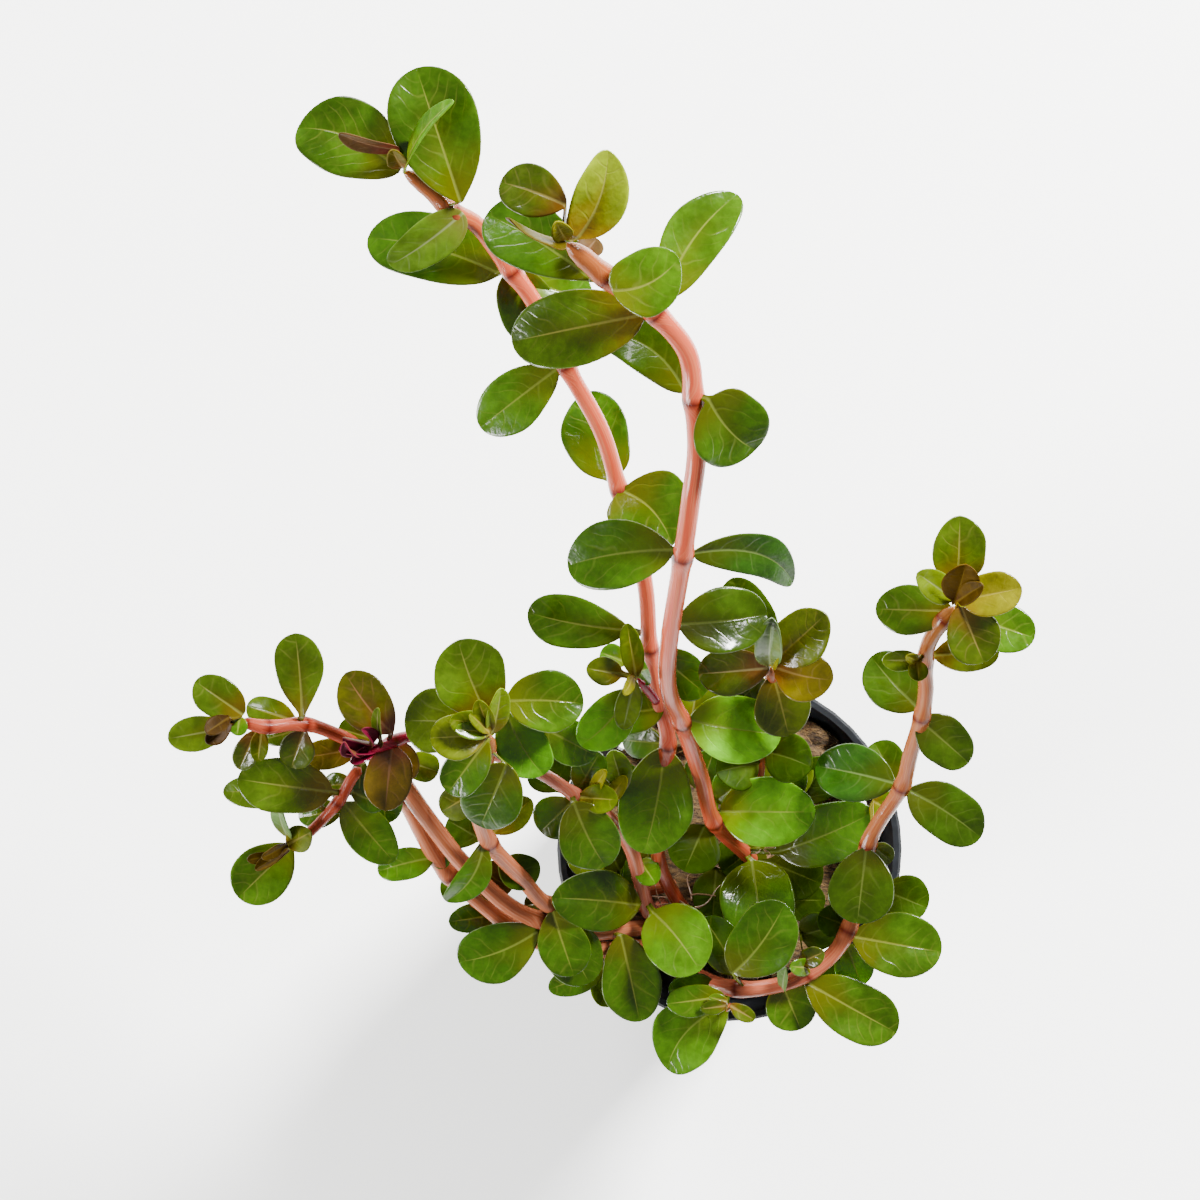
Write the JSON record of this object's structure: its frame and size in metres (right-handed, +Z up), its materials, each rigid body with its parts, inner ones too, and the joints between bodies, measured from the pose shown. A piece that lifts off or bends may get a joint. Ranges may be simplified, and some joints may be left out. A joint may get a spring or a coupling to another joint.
{
  "type": "potted aquarium stem plant",
  "caption": "Stem plant with trailing salmon stems and round glossy green leaves, rooted in a mineral wool plug inside a slotted black net pot.",
  "frame": {"origin": "centre of the net pot's underside", "axes": "+Z up along the pot's axis; the long stems lean towards +Y and the short ones towards -X"},
  "size_m": [0.1083, 0.1351, 0.1391],
  "materials": {
    "pot": "satin black",
    "wool": "matte, fibrous",
    "salmon": "glossy, ribbed",
    "magenta": "glossy, ribbed",
    "green": "glossy",
    "deep": "glossy",
    "bright": "glossy",
    "olive": "glossy"
  },
  "bodies": {
    "root": {"pot": "pot", "wool_plug": "wool", "stem_long_left": "salmon", "stem_long_right": "salmon", "stem_crown": "salmon", "stem_left_main": "salmon", "stem_left_upper": "salmon", "stem_left_lower": "salmon", "stem_left_second": "salmon", "stem_middle": "salmon", "stem_magenta": "magenta", "stem_right": "salmon", "shoot_magenta": "magenta", "shoot_low": "salmon", "shoot_front": "salmon", "leaf_long_left_1": "green", "leaf_long_left_2": "green", "leaf_long_left_3": "green", "leaf_long_left_4": "green", "leaf_long_left_5": "green", "leaf_long_left_6": "green", "leaf_long_left_7": "bright", "leaf_long_left_8": "deep", "leaf_long_left_9": "deep", "leaf_long_right_1": "deep", "leaf_long_right_2": "bright", "leaf_long_right_3": "bright", "leaf_long_right_4": "olive", "leaf_long_right_5": "deep", "leaf_long_right_6": "deep", "leaf_long_right_7": "deep", "leaf_long_right_8": "deep", "leaf_long_right_9": "bright", "leaf_long_right_10": "bright", "leaf_long_right_11": "bright", "leaf_long_right_12": "deep", "leaf_crown_1": "olive", "leaf_left_upper_1": "olive", "leaf_left_lower_1": "deep", "leaf_left_lower_2": "green", "leaf_magenta_1": "deep", "leaf_magenta_2": "green", "leaf_magenta_3": "bright", "leaf_middle_1": "green", "leaf_middle_2": "deep", "leaf_middle_3": "olive", "leaf_middle_4": "green", "leaf_middle_5": "green", "leaf_middle_6": "green", "leaf_left_main_1": "green", "leaf_left_main_2": "deep", "leaf_right_1": "green", "leaf_right_2": "green", "leaf_right_3": "green", "leaf_right_4": "green", "leaf_right_5": "green", "leaf_right_6": "deep", "leaf_right_7": "green", "leaf_right_8": "bright", "leaf_right_9": "bright"}
  },
  "joints": []
}
